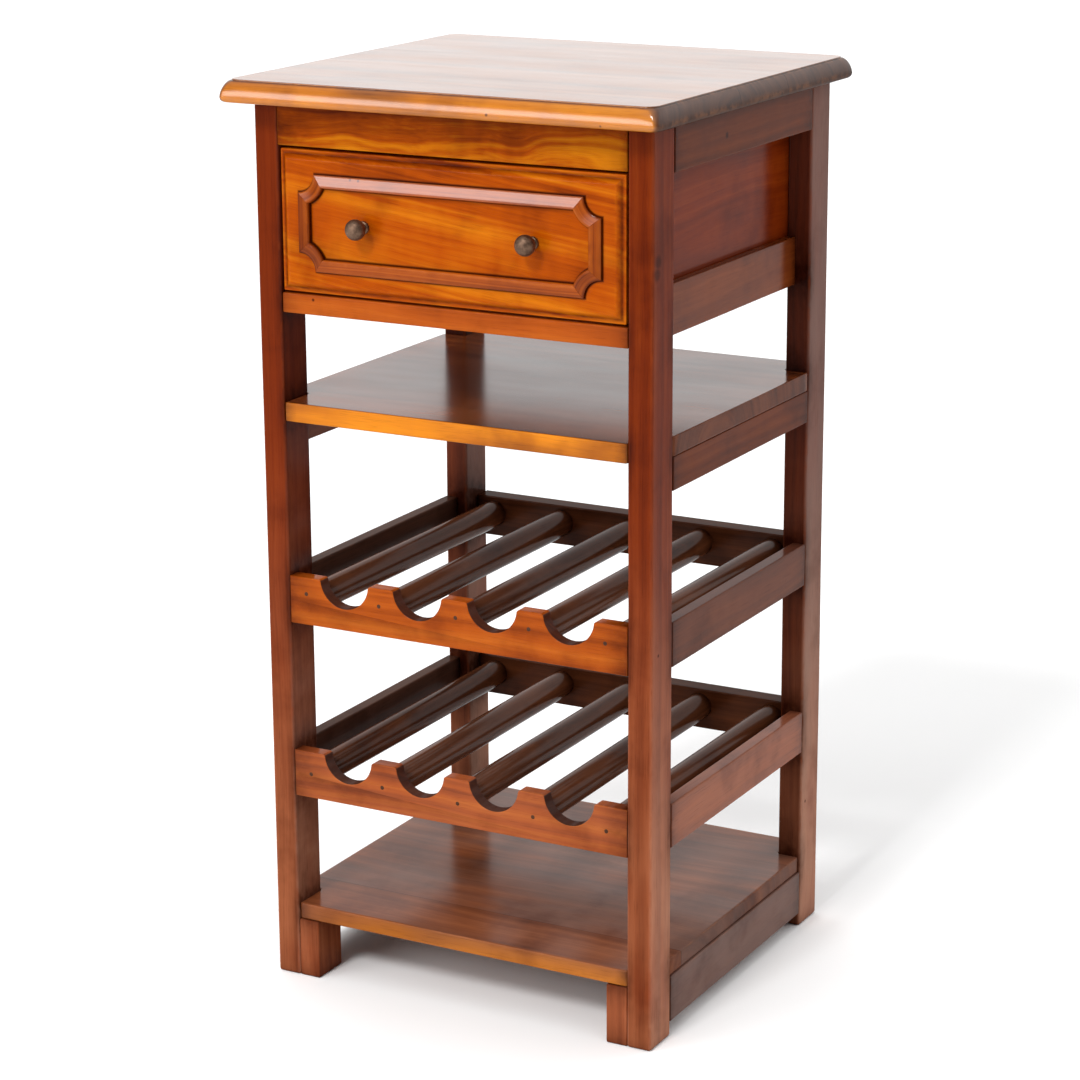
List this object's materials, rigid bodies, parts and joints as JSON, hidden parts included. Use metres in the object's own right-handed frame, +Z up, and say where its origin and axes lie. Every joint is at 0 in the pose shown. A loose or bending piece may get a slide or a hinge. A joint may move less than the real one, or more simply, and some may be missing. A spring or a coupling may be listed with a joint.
{
  "type": "wine table",
  "caption": "Tall side table with a moulded top over a drawer, an open shelf, racks of round bars that hold bottles lying down, and a low bottom shelf.",
  "frame": {"origin": "on the floor, under the middle of the top", "axes": "+Z up, +X to the right seen from the drawer side, -Y the way the drawer opens"},
  "size_m": [0.465, 0.44, 0.9165],
  "materials": {
    "golden_wood": "gloss varnish",
    "red_wood": "gloss varnish",
    "brown_wood": "gloss varnish",
    "pale_wood": "bare",
    "bronze": "dark patina",
    "steel": "plated"
  },
  "bodies": {
    "table": {"back_panel": "brown_wood", "bottom_bearer_left": "brown_wood", "bottom_bearer_right": "brown_wood", "bottom_shelf": "red_wood", "drawer_rail": "golden_wood", "foot_block_left": "golden_wood", "foot_block_right": "golden_wood", "middle_bearer_left": "brown_wood", "middle_bearer_right": "brown_wood", "middle_shelf": "red_wood", "post_front_left": "red_wood", "post_front_right": "red_wood", "post_rear_left": "red_wood", "post_rear_right": "red_wood", "rack_lower_bar_1": "brown_wood", "rack_lower_bar_2": "brown_wood", "rack_lower_bar_3": "brown_wood", "rack_lower_bar_4": "brown_wood", "rack_lower_bar_5": "brown_wood", "rack_lower_front": "golden_wood", "rack_lower_rear": "brown_wood", "rack_lower_side_left": "brown_wood", "rack_lower_side_right": "brown_wood", "rack_upper_bar_1": "brown_wood", "rack_upper_bar_2": "brown_wood", "rack_upper_bar_3": "brown_wood", "rack_upper_bar_4": "brown_wood", "rack_upper_bar_5": "brown_wood", "rack_upper_front": "golden_wood", "rack_upper_rear": "brown_wood", "rack_upper_side_left": "brown_wood", "rack_upper_side_right": "brown_wood", "rail_low_left": "brown_wood", "rail_low_right": "brown_wood", "rail_top_front": "golden_wood", "rail_top_left": "brown_wood", "rail_top_rear": "brown_wood", "rail_top_right": "brown_wood", "runner_left": "pale_wood", "runner_right": "pale_wood", "side_panel_left": "red_wood", "side_panel_right": "red_wood", "top": "golden_wood"},
    "drawer": {"drawer_back": "pale_wood", "drawer_bottom": "pale_wood", "drawer_front": "golden_wood", "drawer_side_left": "pale_wood", "drawer_side_right": "pale_wood", "knob_left": "bronze", "knob_right": "bronze", "knob_screw_left": "steel", "knob_screw_right": "steel", "moulding_bottom": "brown_wood", "moulding_corner_bottom_left": "brown_wood", "moulding_corner_bottom_right": "brown_wood", "moulding_corner_top_left": "brown_wood", "moulding_corner_top_right": "brown_wood", "moulding_left": "brown_wood", "moulding_right": "brown_wood", "moulding_top": "brown_wood"}
  },
  "joints": [
    {"name": "drawer_slide", "type": "slide", "parent": "table", "child": "drawer", "axis": [0, -1, 0], "range_m": [0, 0.26]}
  ]
}
